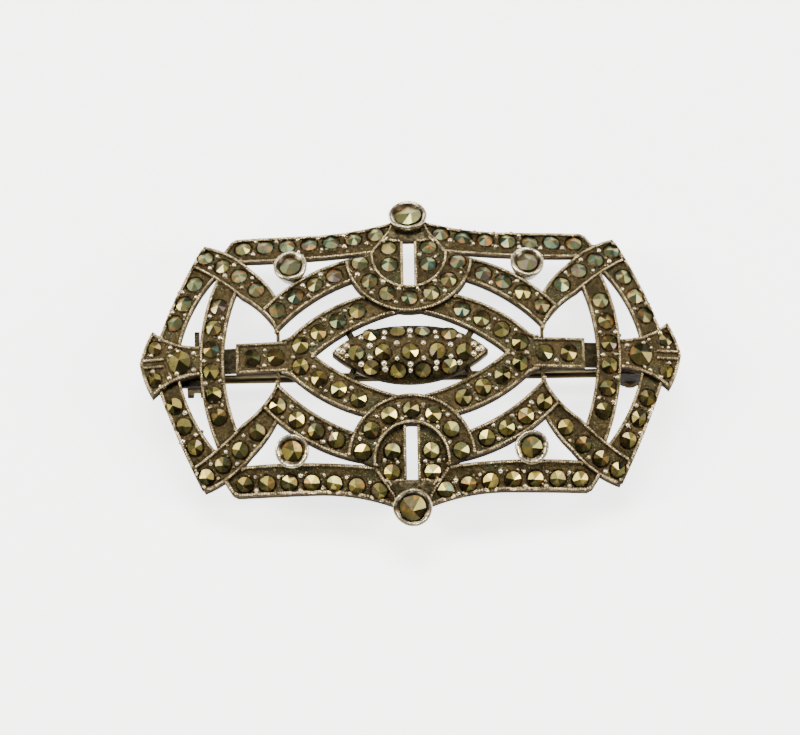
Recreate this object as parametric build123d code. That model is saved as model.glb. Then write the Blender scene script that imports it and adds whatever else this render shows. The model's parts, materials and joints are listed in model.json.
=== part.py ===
from build123d import *
from math import asin, degrees, sqrt
import os

os.makedirs("parts", exist_ok=True)

# Openwork plaque brooch, millimetres. X along the length, Z up, face upward.
# The origin is the middle of the outline, on the plane of the lowest finding.

# driving dimensions
half_length = 25.0          # middle to the point of an end cap
half_height = 12.4          # middle to the outer edge of the long rails
length_bow = 115.0          # radius of the plaque's bend along the length
height_bow = 31.0           # radius of the plaque's bend across the height
plate_back = -0.9           # underside of every ribbon, below the bent reference surface
ribbon_width = 2.5          # rail to rail, over the widest ribbons
rail_width = 0.28           # raised edge rail
floor_depth = 0.2           # ribbon floor below its rails
stone_r = 0.72              # common stone
stone_gap = 0.03            # round a stone in its seat
seat_depth = 0.42           # seat floor below the ribbon floor
girdle_over_seat = 0.06     # a stone's girdle above the ribbon floor
pin_r = 0.42                # pin wire
pin_room = 0.14             # round the pin, in the catch's turning tube
tube_wall = 0.46            # wall of the turning tube
tube_fit = 0.04             # running gap between the tube and its housing
housing_wall = 0.64         # wall of the catch housing
rivet_r = 0.4               # hinge rivet
rivet_fit = 0.03            # running gap between the rivet and the pin's eye
eye_wall = 0.55             # metal round the rivet hole, in the eye and the cheeks
pin_y = -0.45               # pin line below the middle of the plaque
crown_over_pin = 6.2        # top of the bend above the pin line

# heights of the ribbon rails over the reference surface
rail_top = 0.0
border_top = 0.0
corner_top = 0.1
arc_top = 0.15
plate_top = 0.15
bar_top = 0.2
arch_top = 0.2
swag_top = 0.25
cap_top = 0.4
ring_top = 0.5

# worked out
bore_r = pin_r + pin_room
tube_r = bore_r + tube_wall
catch_r = tube_r + tube_fit + housing_wall
eye_r = rivet_r + eye_wall
pin_z = catch_r             # the catch rests on the origin plane
crown = pin_z + crown_over_pin
drawn_length = 25.0         # the plan outlines are drawn at these two half sizes
drawn_height = 12.4
sx = half_length / drawn_length
sy = half_height / drawn_height
well_above = 4.0            # cutters and blanks run this far past the surface
far_below = -12.0
turn_step = 137.5           # stones are set at no particular angle

plaque_bow = (crown, length_bow, height_bow)


# ---------- bent surfaces ----------

slab_half_length = 27.5     # a slab reaches this far past the outline
slab_half_height = 18.5
steepest = 0.94             # sine of the steepest slope a slab is carried to

def seat(bow, x, y, offset):
    """Place on a bent surface over (x, y), with local Z along its normal."""
    top, long_r, cross_r = bow
    tip = asin(y / (cross_r + offset))
    reach = long_r - cross_r + sqrt((cross_r + offset) ** 2 - y ** 2)
    swing = asin(x / reach)
    across = Pos(0, 0, long_r - cross_r) * Rot(-degrees(tip), 0, 0)
    return Pos(0, 0, top - long_r) * Rot(0, degrees(swing), 0) * across * Pos(0, 0, cross_r + offset)


def bent_slab(bow, upper, lower):
    """Everything between two offsets of a bent surface."""
    top, long_r, cross_r = bow
    lean = degrees(asin(min(steepest, slab_half_height * sy / cross_r)))
    middle = (0, top - cross_r)
    outer = CenterArc(middle, cross_r + upper, 90 - lean, 2 * lean)
    inner = CenterArc(middle, cross_r + lower, 90 - lean, 2 * lean)
    sides = Line(outer @ 0, inner @ 0) + Line(outer @ 1, inner @ 1)
    section = Plane.YZ * make_face(outer + inner + sides)
    half_turn = degrees(asin(min(steepest, slab_half_length * sx / long_r)))
    hinge_line = Axis((0, 0, top - long_r), (0, 1, 0))
    section = section.rotate(hinge_line, -half_turn)
    return revolve(section, axis=hinge_line, revolution_arc=2 * half_turn)


def outline(*pieces):
    """A flat face from edges given one after another."""
    whole = pieces[0]
    for piece in pieces[1:]:
        whole += piece
    return make_face(whole)


def at(x, y):
    """A plan point, in the proportions of the two half sizes."""
    return (x * sx, y * sy)


def arc(start, through, end):
    return ThreePointArc(at(*start), at(*through), at(*end))


def line(*points):
    return Polyline(*[at(*p) for p in points])


def upright(face):
    """The face carried straight up through the whole brooch."""
    below = 2.0
    return extrude(Pos(0, 0, -below) * face, amount=below + crown + well_above)


def across_x(shape):
    return mirror(shape, about=Plane.YZ)


def across_y(shape):
    return mirror(shape, about=Plane.XZ)


def one(shape):
    """The single solid a boolean left."""
    return shape.solids()[0]


def cut_away(shape, tools):
    """The shape less every tool, in one cut."""
    return shape - tools if tools else shape


# ---------- stones and their seats ----------

facet_rise = 0.5            # crown height over the girdle, as a share of the radius
facets = 6


def rose_stone(radius, girdle):
    """A round stone with a flat base, a plain girdle and six facets to one point."""
    peak = girdle + facet_rise * radius
    body = Pos(0, 0, peak / 2) * Cylinder(radius, peak)
    slope = degrees(asin(facet_rise / sqrt(1 + facet_rise ** 2)))
    size = 4 * radius
    for step in range(facets):
        block = Pos(size, 0, size / 2) * Box(2 * size, size, size)
        body -= Pos(0, 0, peak) * Rot(0, 0, 360 / facets * step) * Rot(0, slope, 0) * block
    return one(body)


class Setting:
    """Stones of one size on one ribbon: seats to cut and stones to set."""

    def __init__(self, bow, top, points, radius=stone_r, depth=seat_depth, floor=floor_depth):
        self.bow = bow
        self.radius = radius
        self.floor = top - floor
        self.base = self.floor - depth
        self.girdle = depth + girdle_over_seat
        self.points = points

    def seats(self):
        high = well_above
        tool = Pos(0, 0, high / 2) * Cylinder(self.radius + stone_gap, high)
        return [seat(self.bow, x, y, self.base) * tool for x, y in self.points]

    def stones(self, points):
        stone = rose_stone(self.radius, self.girdle)
        made = []
        for count, (x, y) in enumerate(points):
            turn = Rot(0, 0, turn_step * count)
            made.append(seat(self.bow, x, y, self.base) * turn * stone)
        return made


def ribbon(face, floor_face, top, over, setting):
    """A ribbon with rails, butted against the pieces that lie over it."""
    body = upright(face) & bent_slab(plaque_bow, top, plate_back)
    body -= upright(floor_face) & bent_slab(plaque_bow, well_above, top - floor_depth)
    body = cut_away(body, over)
    if setting:
        body = cut_away(body, setting.seats())
    return one(body)


def inset(face):
    return offset(face, amount=-rail_width, kind=Kind.ARC)


# ---------- collets ----------

large_stone_r = 1.14
large_collet_r = large_stone_r + 0.66
large_foot_r = large_collet_r - 0.45
large_rim = 1.1             # rim over the reference surface
small_stone_r = 0.9
small_collet_r = small_stone_r + 0.67
small_foot_r = small_collet_r - 0.5
small_rim = 1.0
collet_lip = 0.35           # height of the turned-in rim
lip_draft = 0.12            # how far the rim leans in
mouth_depth = 0.5           # sloping part of the mouth
mouth_edge = 0.2            # metal left round the mouth
collet_seat = 0.4           # straight part below the mouth
collet_girdle = 0.45


def collet_blank(rim_r, foot_r, foot, rim):
    """A cup widening from its foot to its rim, before it is hollowed."""
    neck_top = rim - collet_lip
    blank = Pos(0, 0, (neck_top + foot) / 2) * Cone(foot_r, rim_r, neck_top - foot)
    blank += Pos(0, 0, rim - collet_lip / 2) * Cone(rim_r, rim_r - lip_draft, collet_lip)
    return blank


def collet(rim_r, foot_r, foot, rim, held_r):
    """The cup with a sloping mouth and a seat for its stone, and the seat's height."""
    cup = collet_blank(rim_r, foot_r, foot, rim)
    seat_r = held_r + stone_gap
    past = 0.02
    middle = rim - (mouth_depth - past) / 2
    cup -= Pos(0, 0, middle) * Cone(seat_r, rim_r - mouth_edge, mouth_depth + past)
    cup -= Pos(0, 0, rim - mouth_depth - collet_seat / 2) * Cylinder(seat_r, collet_seat)
    return cup, rim - mouth_depth - collet_seat


# ---------- plan outlines, top right quarter ----------

ring_middle = (0, 9.86)
ring_in = 3.28
ring_out = ring_in + ribbon_width + 0.15
large_collet_y = 13.65      # the two large collets, on the cross axis
small_collet_at = (10.9, 8.66)
slot_half = 0.5
bar_half = ribbon_width / 2 + 0.17
arc_mean_x = 18.3           # middle of the side arcs' width, on the long axis
arc_mean_r = 20.0
arc_middle = arc_mean_x * sx - arc_mean_r
arc_half = 1.15
key_width = 0.95            # over the two ridges at the tip of each cap


def circle_at(middle, radius):
    return Pos(*at(*middle)) * Circle(radius)


def rail_outline():
    """Long rail: rises to the middle collet, ends in a snipped corner."""
    return outline(
        line((3.3, 10.25), (1.6, 12.6), (1.2, 13.8)),
        arc((1.2, 13.8), (4.5, 12.84), (9.0, 12.4)),
        line((9.0, 12.4), (16.0, 12.4), (16.5, 12.15), (17.2, 11.1), (18.0, 9.7), (15.6, 9.8)),
        arc((15.6, 9.8), (9.2, 9.78), (3.3, 10.25)),
    )


def corner_outline():
    """Diagonal bar from the outer corner down to the tail of the swag."""
    return outline(
        line((20.2, 9.65), (19.05, 11.85)),
        arc((19.05, 11.85), (16.75, 10.8), (14.6, 8.9)),
        arc((14.6, 8.9), (13.2, 7.4), (12.0, 5.4)),
        line((12.0, 5.4), (12.75, 3.3)),
        arc((12.75, 3.3), (13.9, 4.75), (15.5, 6.05)),
        arc((15.5, 6.05), (17.75, 8.02), (20.2, 9.65)),
    )


def side_border_outline():
    """Edge ribbon from the corner bar to the end cap."""
    return outline(
        arc((19.3, 11.6), (21.6, 6.7), (23.15, 2.7)),
        line((23.15, 2.7), (23.5, 1.9), (21.2, 0.9), (21.25, 1.6)),
        arc((21.25, 1.6), (19.85, 5.5), (17.4, 9.0)),
        line((17.4, 9.0), (19.3, 11.6)),
    )


def swag_outline():
    """Outer arch ribbon from the half ring down to its tail."""
    return outline(
        arc((4.6, 9.8), (9.7, 7.88), (13.72, 4.6)),
        arc((13.72, 4.6), (12.75, 3.4), (12.3, 2.2)),
        line((12.3, 2.2), (11.98, 2.75)),
        arc((11.98, 2.75), (9.1, 5.25), (4.6, 7.45)),
        line((4.6, 7.45), (4.6, 9.8)),
    )


def arch_outline():
    """Inner arch ribbon from the half ring to the middle line."""
    return outline(
        arc((3.0, 5.98), (8.2, 4.05), (11.0, 1.87)),
        line((11.0, 1.87), (12.6, 1.2), (12.6, 0), (8.8, 0)),
        arc((8.8, 0), (5.5, 2.27), (0.9, 4.05)),
        line((0.9, 4.05), (3.0, 5.98)),
    )


def cap_outline():
    """End cap: a fan with a shallow outer point."""
    upper = arc((18.9, 1.38), (21.7, 1.82), (23.8, 3.15)) + arc((23.8, 3.15), (24.55, 1.6), (25.0, 0))
    return outline(upper, across_y(upper), line((18.9, -1.38), (18.9, 1.38)))


def arc_ring(inner, outer):
    middle = Pos(arc_middle, 0, 0)
    band = middle * (Circle(outer) - Circle(inner))
    window = Pos(18.0 * sx, 0, 0) * Rectangle(7.0 * sx, 17.0 * sy)
    return band & window


# ---------- stone places, top right quarter ----------

def scaled(points):
    return [at(*p) for p in points]


rail_points = scaled([(3.04 + 2.05 * i, 11.18 + 0.93 * (1 - i / 6) ** 3.4) for i in range(7)])
corner_points = scaled([(18.85, 10.36), (17.3, 9.4), (15.68, 8.22), (14.08, 6.72)])
border_points = scaled([(19.85, 7.72), (20.85, 5.77), (21.7, 3.9)])
swag_points = scaled([(12.2, 4.5), (10.45, 5.82), (8.68, 6.9), (6.86, 7.74)])
arch_points = scaled([(10.05, 0.98), (8.37, 2.16), (6.6, 3.2), (4.79, 4.14)])
bar_points = scaled([(12.3, 0), (14.5, 0)])
slot_points = scaled([(1.86, 10.62), (1.78, 8.8)])
cap_small_r = 0.6
cap_large_r = 1.05
cap_large_points = scaled([(21.2, 0)])
cap_small_points = scaled([(23.5, 1.5), (23.5, -1.5)])


def turned(vector_angle, radius):
    """A point at an angle round the ring's middle."""
    spot = Location((0, 0, 0), (0, 0, vector_angle)) * Pos(radius, 0, 0)
    return (spot.position.X, spot.position.Y)


ring_mean = (ring_in + ring_out) / 2
ring_points = []
for step in range(-3, 4):
    ring_dx, ring_dy = turned(-90 + 26.0 * step, ring_mean)
    ring_points.append((ring_dx, ring_dy + ring_middle[1] * sy))

arc_points = []
for step in (-2.5, -1.5, -0.5, 0.5, 1.5, 2.5):
    arc_dx, arc_dy = turned(degrees(2.1 * sy * step / arc_mean_r), arc_mean_r)
    arc_points.append((arc_dx + arc_middle, arc_dy))


# ---------- pieces of the top right quarter ----------

def ring_face(inner, outer):
    band = circle_at(ring_middle, outer) - circle_at(ring_middle, inner)
    ends = outline(line((7.0, 8.72), (3.2, 10.4), (-3.2, 10.4), (-7.0, 8.72), (-7.0, 17.0),
                        (7.0, 17.0), (7.0, 8.72)))
    return band - ends


ring_set = Setting(plaque_bow, ring_top, ring_points)
ring_solid = ribbon(ring_face(ring_in, ring_out), ring_face(ring_in + rail_width, ring_out - rail_width),
                    ring_top, [], ring_set)
ring_tool = upright(ring_face(ring_in, ring_out))

large_place = seat(plaque_bow, *at(0, large_collet_y), 0)
large_cup, large_base = collet(large_collet_r, large_foot_r, plate_back, large_rim, large_stone_r)
large_cup = one(large_place * large_cup)
large_blank = large_place * collet_blank(large_collet_r, large_foot_r, plate_back, large_rim)
large_stone = large_place * Pos(0, 0, large_base) * rose_stone(large_stone_r, collet_girdle)

small_place = seat(plaque_bow, *at(*small_collet_at), 0)
small_foot = plate_back + 0.1
small_cup, small_base = collet(small_collet_r, small_foot_r, small_foot, small_rim, small_stone_r)
small_cup = one(small_place * small_cup)
small_blank = small_place * collet_blank(small_collet_r, small_foot_r, small_foot, small_rim)
small_stone = small_place * Pos(0, 0, small_base) * rose_stone(small_stone_r, collet_girdle)

swag_set = Setting(plaque_bow, swag_top, swag_points)
swag_face = swag_outline()
swag_tool = upright(swag_face)
swag_solid = ribbon(swag_face, inset(swag_face), swag_top, [ring_tool, small_blank], swag_set)
neck_low = bar_half - 0.12
neck_high = 2.9 * sy
neck_face = Pos(12.15 * sx, (neck_low + neck_high) / 2) * Rectangle(0.3, neck_high - neck_low)
bar_tool = upright(Pos(*at(15.0, 0)) * Rectangle(7.4 * sx, 2 * bar_half))
arch_face = arch_outline()
neck = upright(neck_face) & bent_slab(plaque_bow, swag_top - floor_depth, plate_back)
swag_solid = one(swag_solid + (neck - bar_tool - upright(arch_face)))
swag_tool = swag_tool + upright(neck_face)

corner_set = Setting(plaque_bow, corner_top, corner_points)
corner_face = corner_outline()
corner_tool = upright(corner_face)
corner_solid = ribbon(corner_face, inset(corner_face), corner_top, [swag_tool], corner_set)

rail_set = Setting(plaque_bow, rail_top, rail_points)
rail_face = rail_outline()
rail_tool = upright(rail_face)
rail_solid = ribbon(rail_face, inset(rail_face), rail_top,
                    [corner_tool, ring_tool, large_blank, small_blank], rail_set)

# the cross bar, lower where it runs on to the side arc
arc_tool = upright(arc_ring(arc_mean_r - arc_half, arc_mean_r + arc_half))
bar_set = Setting(plaque_bow, bar_top, bar_points)
bar_end = 16.05
bar_start = 11.3
bar_len = (bar_end - bar_start) * sx
bar_mid = (bar_end + bar_start) / 2 * sx
bar_face = Pos(bar_mid, 0) * Rectangle(bar_len, 2 * bar_half)
bar_floor = Pos(bar_mid - rail_width, 0) * Rectangle(bar_len, 2 * (bar_half - rail_width))
bar_solid = ribbon(bar_face, bar_floor, bar_top, [], bar_set)
tongue_face = Pos((bar_end + 0.8) * sx, 0) * Rectangle(1.6 * sx, 2 * bar_half - 2 * rail_width)
tongue = upright(tongue_face) & bent_slab(plaque_bow, bar_top - 0.5, plate_back)
bar_solid = one(bar_solid + (tongue - arc_tool))
bar_body_tool = upright(bar_face)

arch_set = Setting(plaque_bow, arch_top, arch_points)
arch_pair = arch_face + across_y(arch_face)
upper_half = upright(Pos(0, 20, 0) * Rectangle(60 * sx, 40))
arch_solid = ribbon(arch_pair, inset(arch_pair), arch_top, [ring_tool, bar_body_tool], None)
arch_solid = one(cut_away(one(arch_solid & upper_half), arch_set.seats()))

side_arc_set = Setting(plaque_bow, arc_top, arc_points)
side_arc_solid = ribbon(
    arc_ring(arc_mean_r - arc_half, arc_mean_r + arc_half),
    arc_ring(arc_mean_r - arc_half + rail_width, arc_mean_r + arc_half - rail_width),
    arc_top, [corner_tool, across_y(corner_tool)], side_arc_set)

cap_face = cap_outline()
cap_tool = upright(cap_face)
cap_large_set = Setting(plaque_bow, cap_top, cap_large_points, radius=cap_large_r)
cap_small_set = Setting(plaque_bow, cap_top, cap_small_points, radius=cap_small_r)
key = Rectangle(2.3 * sx, key_width) - Rectangle(2.3 * sx, key_width - 2 * rail_width)
key = Pos(23.9 * sx, 0) * key
cap_solid = ribbon(cap_face, inset(cap_face) - key, cap_top, [arc_tool], None)
cap_solid = one(cut_away(cap_solid, cap_large_set.seats() + cap_small_set.seats()))

side_border_set = Setting(plaque_bow, border_top, border_points)
side_border_face = side_border_outline()
side_border_solid = ribbon(side_border_face, inset(side_border_face), border_top,
                           [corner_tool, cap_tool, arc_tool], side_border_set)

# the plate inside the half ring, split by its slot
slot_set = Setting(plaque_bow, plate_top, slot_points + [(-x, y) for x, y in slot_points])
slot_face = Pos(0, 9.0 * sy) * Rectangle(2 * slot_half, 5.0 * sy)
plate_face = circle_at(ring_middle, ring_in) + Pos(0, 12.3 * sy) * Rectangle(3.8 * sx, 2.2 * sy)
plate_face = plate_face - slot_face
well = circle_at(ring_middle, ring_in) & (Pos(0, 8.4 * sy) * Rectangle(8.0, 6.0 * sy))
well = well - Pos(0, 9.0 * sy) * Rectangle(2 * (slot_half + rail_width), 9.0 * sy)
plate_solid = ribbon(plate_face, well, plate_top,
                     [ring_tool, rail_tool, across_x(rail_tool), large_blank], slot_set)


# ---------- navette ----------

navette_half = 7.15 * sx
navette_width = 2.8 * sy
navette_rise = 1.3          # its top over the reference surface
navette_bow = (crown + navette_rise, 42.0, 3.0 * sy)
navette_points = scaled([(2.46 * i, -0.2) for i in (-2, -1, 0, 1, 2)])
for side in (1, -1):
    navette_points += scaled([(1.14, 1.6 * side), (-1.14, 1.6 * side)])
    navette_points += scaled([(3.55, 1.3 * side), (-3.55, 1.3 * side)])


def lens_face(half_long, half_wide):
    upper = ThreePointArc((-half_long, 0), (0, half_wide), (half_long, 0))
    return outline(upper, across_y(upper))


navette_set = Setting(navette_bow, 0, navette_points, floor=0.0)
navette_face = lens_face(navette_half, navette_width)
navette_tool = upright(navette_face)
over_dome = bent_slab(navette_bow, 2 * well_above, 0)
navette_cup = (navette_tool & bent_slab(plaque_bow, well_above, plate_back)) - over_dome
navette_cup = one(cut_away(one(navette_cup), navette_set.seats()))

strut_width = 0.55
strut_face = Pos(*at(5.5, 1.95)) * Rot(0, 0, 62) * Rectangle(2.6, strut_width)
strut = upright(strut_face) & bent_slab(plaque_bow, -0.25, plate_back)
strut = one(strut - navette_tool - upright(arch_face))


# ---------- hinge, pin and catch ----------

hinge_x = 20.4 * sx
catch_x = -19.85 * sx
cheek = 0.5
eye_half = 0.55             # half the thickness of the eye
hinge_gap = 0.1             # each side of the eye
cheek_in = eye_half + hinge_gap
cheek_out = cheek_in + cheek
swing_gap = 0.35            # above the eye, up to the foot
foot_long = 4.0
foot_thick = 0.6
past_all = 9.0              # through cuts are this long
under_plaque = bent_slab(plaque_bow, plate_back, far_below)
eye_place = Pos(hinge_x, pin_y, pin_z)


def drum(radius, length, along):
    """A cylinder about its own middle, along the named axis."""
    turn = Rot(90, 0, 0) if along == "y" else Rot(0, 90, 0)
    return turn * Cylinder(radius, length)


def make_bracket():
    """U of sheet: two cheeks hanging from a foot soldered under the plaque."""
    rise = crown - pin_z
    block = Pos(0, 0, rise / 2) * Box(2 * eye_r, 2 * cheek_out, rise)
    block += drum(eye_r, 2 * cheek_out, "y")
    foot = Pos(0, 0, rise / 2) * Box(foot_long, 2 * cheek_out, rise)
    under_foot = Pos(0, 0, -foot_thick) * (eye_place.inverse() * under_plaque)
    solid = block + (foot - under_foot)
    gap_top = eye_r + swing_gap
    gap_depth = gap_top + 2 * eye_r
    solid -= Pos(0, 0, gap_top - gap_depth / 2) * Box(past_all, 2 * cheek_in, gap_depth)
    solid -= drum(rivet_r, past_all, "y")
    return one((eye_place * solid) & under_plaque)


def make_rivet():
    """Pin of the hinge, headed over each cheek."""
    body = drum(rivet_r, 2 * cheek_out, "y")
    head_r = rivet_r + 0.28
    head_draft = 0.2
    head_len = 0.22
    for side in (1, -1):
        turn = Rot(-90 * side, 0, 0)
        head = Cone(head_r, head_r - head_draft, head_len)
        body += Pos(0, side * (cheek_out + head_len / 2), 0) * turn * head
    return one(eye_place * body)


def make_stem():
    """Sprung wire with a flattened eye, pointed at the far end."""
    past_catch = 1.5
    length = hinge_x - catch_x + past_catch
    point = 3.2
    tip_r = 0.08
    wire = Pos(-(length - point) / 2, 0, 0) * drum(pin_r, length - point, "x")
    sharp = Rot(0, -90, 0) * Cone(pin_r, tip_r, point)
    wire += Pos(-(length - point / 2), 0, 0) * sharp
    end = Pos(-length, 0, 0) * Sphere(tip_r)
    body = wire + end + drum(eye_r, 2 * eye_half, "y")
    body -= drum(rivet_r + rivet_fit, 4 * eye_half, "y")
    return one(eye_place * body)


catch_cheek = 0.55
lever_thick = 0.46
lever_gap = 0.1
catch_half = lever_thick / 2 + lever_gap + catch_cheek
lever_reach = 4.2
lever_wide = 0.9
slot_width = 2 * pin_r + 0.16
post_half = 1.25            # half the width of the post over the cheeks
catch_foot = 3.2            # side of the square foot
catch_place = Pos(catch_x, pin_y, pin_z)


def make_housing():
    """Two C cheeks on a foot, open downward, with a groove for the lever."""
    rise = crown - pin_z
    post = Pos(0, 0, rise / 2) * Box(2 * catch_half, 2 * post_half, rise)
    body = drum(catch_r, 2 * catch_half, "x") + post
    foot = Pos(0, 0, rise / 2) * Box(catch_foot, catch_foot, rise)
    under_foot = Pos(0, 0, -foot_thick) * (catch_place.inverse() * under_plaque)
    body += foot - under_foot
    body -= drum(tube_r + tube_fit, past_all, "x")
    body -= Pos(0, 0, -catch_r) * Box(past_all, slot_width, 2 * catch_r)
    groove = lever_thick + 2 * lever_gap
    groove_top = lever_wide / 2 + 0.3
    groove_depth = groove_top + catch_r + 1.0
    body -= Pos(0, 0, groove_top - groove_depth / 2) * Box(groove, past_all, groove_depth)
    return one((catch_place * body) & under_plaque)


def make_rotor():
    """Slotted tube that turns round the pin, with a thumb lever."""
    body = drum(tube_r, 2 * catch_half, "x")
    lever = Pos(0, lever_reach / 2, 0) * Box(lever_thick, lever_reach, lever_wide)
    lever += Pos(0, lever_reach, 0) * drum(lever_wide / 2, lever_thick, "x")
    body += lever
    body -= drum(bore_r, past_all, "x")
    body -= Pos(0, 0, -tube_r) * Box(past_all, slot_width, 2 * tube_r)
    return one(catch_place * body)


# ---------- the whole brooch ----------

nodes = {}


def quarters(name, solid):
    nodes[name + "_top_right"] = solid
    nodes[name + "_top_left"] = across_x(solid)
    nodes[name + "_bottom_right"] = across_y(solid)
    nodes[name + "_bottom_left"] = across_x(across_y(solid))


def sides(name, solid):
    nodes[name + "_right"] = solid
    nodes[name + "_left"] = across_x(solid)


def top_and_bottom(name, solid):
    nodes[name + "_top"] = solid
    nodes[name + "_bottom"] = across_y(solid)


def four_ways(points):
    return [(a * x, b * y) for b in (1, -1) for a in (1, -1) for x, y in points]


def two_sides(points):
    return points + [(-x, y) for x, y in points]


def group(name, solids):
    nodes[name] = Compound(children=solids)


quarters("rail", rail_solid)
quarters("corner_bar", corner_solid)
quarters("side_border", side_border_solid)
quarters("swag", swag_solid)
quarters("inner_arch", arch_solid)
quarters("small_collet", small_cup)
sides("cross_bar", bar_solid)
sides("side_arc", side_arc_solid)
sides("end_cap", cap_solid)
top_and_bottom("half_ring", ring_solid)
top_and_bottom("slot_plate", plate_solid)
top_and_bottom("large_collet", large_cup)
nodes["navette_cup"] = navette_cup
strut_other = across_x(strut)
group("navette_struts", [strut, strut_other, across_y(strut), across_y(strut_other)])

group("rail_stones", rail_set.stones(four_ways(rail_points)))
group("corner_stones", corner_set.stones(four_ways(corner_points)))
group("border_stones", side_border_set.stones(four_ways(border_points)))
group("swag_stones", swag_set.stones(four_ways(swag_points)))
group("arch_stones", arch_set.stones(four_ways(arch_points)))
group("bar_stones", bar_set.stones(two_sides(bar_points)))
group("slot_stones", slot_set.stones(four_ways(slot_points)))
group("ring_stones", ring_set.stones(ring_points + [(x, -y) for x, y in ring_points]))
group("arc_stones", side_arc_set.stones(two_sides(arc_points)))
group("cap_large_stones", cap_large_set.stones(two_sides(cap_large_points)))
group("cap_small_stones", cap_small_set.stones(two_sides(cap_small_points)))
group("navette_stones", navette_set.stones(navette_points))
group("large_collet_stones", [large_stone, across_y(large_stone)])
small_stone_left = across_x(small_stone)
group("small_collet_stones",
      [small_stone, small_stone_left, across_y(small_stone), across_y(small_stone_left)])

nodes["hinge_bracket"] = make_bracket()
nodes["hinge_rivet"] = make_rivet()
nodes["pin_stem"] = make_stem()
nodes["catch_housing"] = make_housing()
nodes["catch_rotor"] = make_rotor()

for node_name, node_shape in nodes.items():
    export_step(node_shape, f"parts/{node_name}.step")
    print(node_name, len(node_shape.solids()), round(node_shape.volume, 3))
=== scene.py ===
import json
import math
from itertools import combinations
import bpy
import numpy as np
from mathutils import Matrix, Vector
from mathutils.bvhtree import BVHTree


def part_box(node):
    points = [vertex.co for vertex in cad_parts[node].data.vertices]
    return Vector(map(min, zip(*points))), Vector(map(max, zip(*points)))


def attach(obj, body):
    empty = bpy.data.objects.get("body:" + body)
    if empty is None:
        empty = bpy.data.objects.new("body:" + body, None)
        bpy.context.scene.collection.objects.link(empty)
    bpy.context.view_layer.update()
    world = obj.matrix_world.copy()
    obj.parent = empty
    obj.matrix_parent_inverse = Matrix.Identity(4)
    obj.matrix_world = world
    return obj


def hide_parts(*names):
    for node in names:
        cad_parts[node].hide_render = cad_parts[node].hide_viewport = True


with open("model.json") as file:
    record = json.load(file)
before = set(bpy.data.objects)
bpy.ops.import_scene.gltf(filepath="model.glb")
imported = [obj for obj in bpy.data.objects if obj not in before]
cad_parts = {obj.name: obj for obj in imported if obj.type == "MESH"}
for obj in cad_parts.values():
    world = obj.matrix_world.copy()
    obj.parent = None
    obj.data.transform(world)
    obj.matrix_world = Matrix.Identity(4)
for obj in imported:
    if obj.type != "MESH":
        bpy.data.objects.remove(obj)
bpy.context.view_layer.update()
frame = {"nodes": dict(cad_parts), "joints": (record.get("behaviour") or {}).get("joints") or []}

mm = 0.001
mergedWithin = 0.001 * mm
fullTurn = 2 * math.pi
rng = np.random.default_rng(7)
nodes = frame["nodes"]

# The plaque is bent: one radius along its length, one across its height, both in metres.
# Its crown stands a set height over the pin line, and the domed navette over the crown.
jointAt = {joint["name"]: joint["pos_m"] for joint in frame["joints"]}
crownOverPin = 6.2 * mm
navetteOverCrown = 1.3 * mm
plaqueBow = {"crown": jointAt["pin_hinge"][2] + crownOverPin, "long": 115 * mm, "cross": 31 * mm}
navetteBow = {"crown": plaqueBow["crown"] + navetteOverCrown, "long": 42 * mm, "cross": 3.0 * mm}


def bowOffset(bow, points):
    # height over the bent surface: distance from its long arc, less the cross radius
    fromAxis = np.hypot(points[:, 0], points[:, 2] - (bow["crown"] - bow["long"]))
    return np.hypot(fromAxis - (bow["long"] - bow["cross"]), points[:, 1]) - bow["cross"]


def bowNormal(bow, points):
    # away from the nearest point of the long arc
    axisZ = bow["crown"] - bow["long"]
    fromAxis = np.hypot(points[:, 0], points[:, 2] - axisZ)
    share = (bow["long"] - bow["cross"]) / fromAxis
    near = np.stack([points[:, 0] * share, np.zeros(len(points)),
                     axisZ + (points[:, 2] - axisZ) * share], 1)
    away = points - near
    return away / np.linalg.norm(away, axis=1, keepdims=True)


def toBow(bow, points, height):
    # the same points slid along the normal to a set height over the bent surface
    normal = bowNormal(bow, points)
    return points + normal * (height - bowOffset(bow, points))[:, None]


def settleOnBow(bow, points, height):
    # the same for points that start far from the surface, where one slide falls short
    for slide in range(3):
        points = toBow(bow, points, height)
    return points


def cadTriangles(name):
    # a CAD node's vertices with doubles merged, and its triangles
    mesh = nodes[name].data
    raw = np.zeros(len(mesh.vertices) * 3)
    mesh.vertices.foreach_get("co", raw)
    raw = raw.reshape(-1, 3)
    mesh.calc_loop_triangles()
    tri = np.zeros(len(mesh.loop_triangles) * 3, int)
    mesh.loop_triangles.foreach_get("vertices", tri)
    cells = np.round(raw / (2 * mergedWithin)).astype(int)
    first, back = np.unique(cells, axis=0, return_index=True, return_inverse=True)[1:]
    tri = back.reshape(-1)[tri].reshape(-1, 3)
    tri = tri[(tri[:, 0] != tri[:, 1]) & (tri[:, 1] != tri[:, 2]) & (tri[:, 2] != tri[:, 0])]
    return raw[first], tri


def solidLabels(count, tri):
    # every vertex takes the lowest number it is joined to, until nothing changes
    label = np.arange(count)
    while True:
        low = label[tri].min(axis=1)
        new = label.copy()
        np.minimum.at(new, tri.ravel(), np.repeat(low, 3))
        if (new == label).all():
            return label
        label = new


def crossFrame(normal):
    # two directions square to each normal
    side = np.cross(normal, np.array([0.31, 0.93, 0.17]))
    side /= np.linalg.norm(side, axis=1, keepdims=True)
    return side, np.cross(normal, side)


def ringTurns(around):
    return np.arange(around) * fullTurn / around


def bandQuads(around, bands):
    # quads that join each ring of points to the one after it
    ring = np.arange(around)
    nxt = (ring + 1) % around
    return np.concatenate([np.stack([k * around + ring, k * around + nxt,
                                     (k + 1) * around + nxt, (k + 1) * around + ring], 1)
                           for k in range(bands)])


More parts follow.
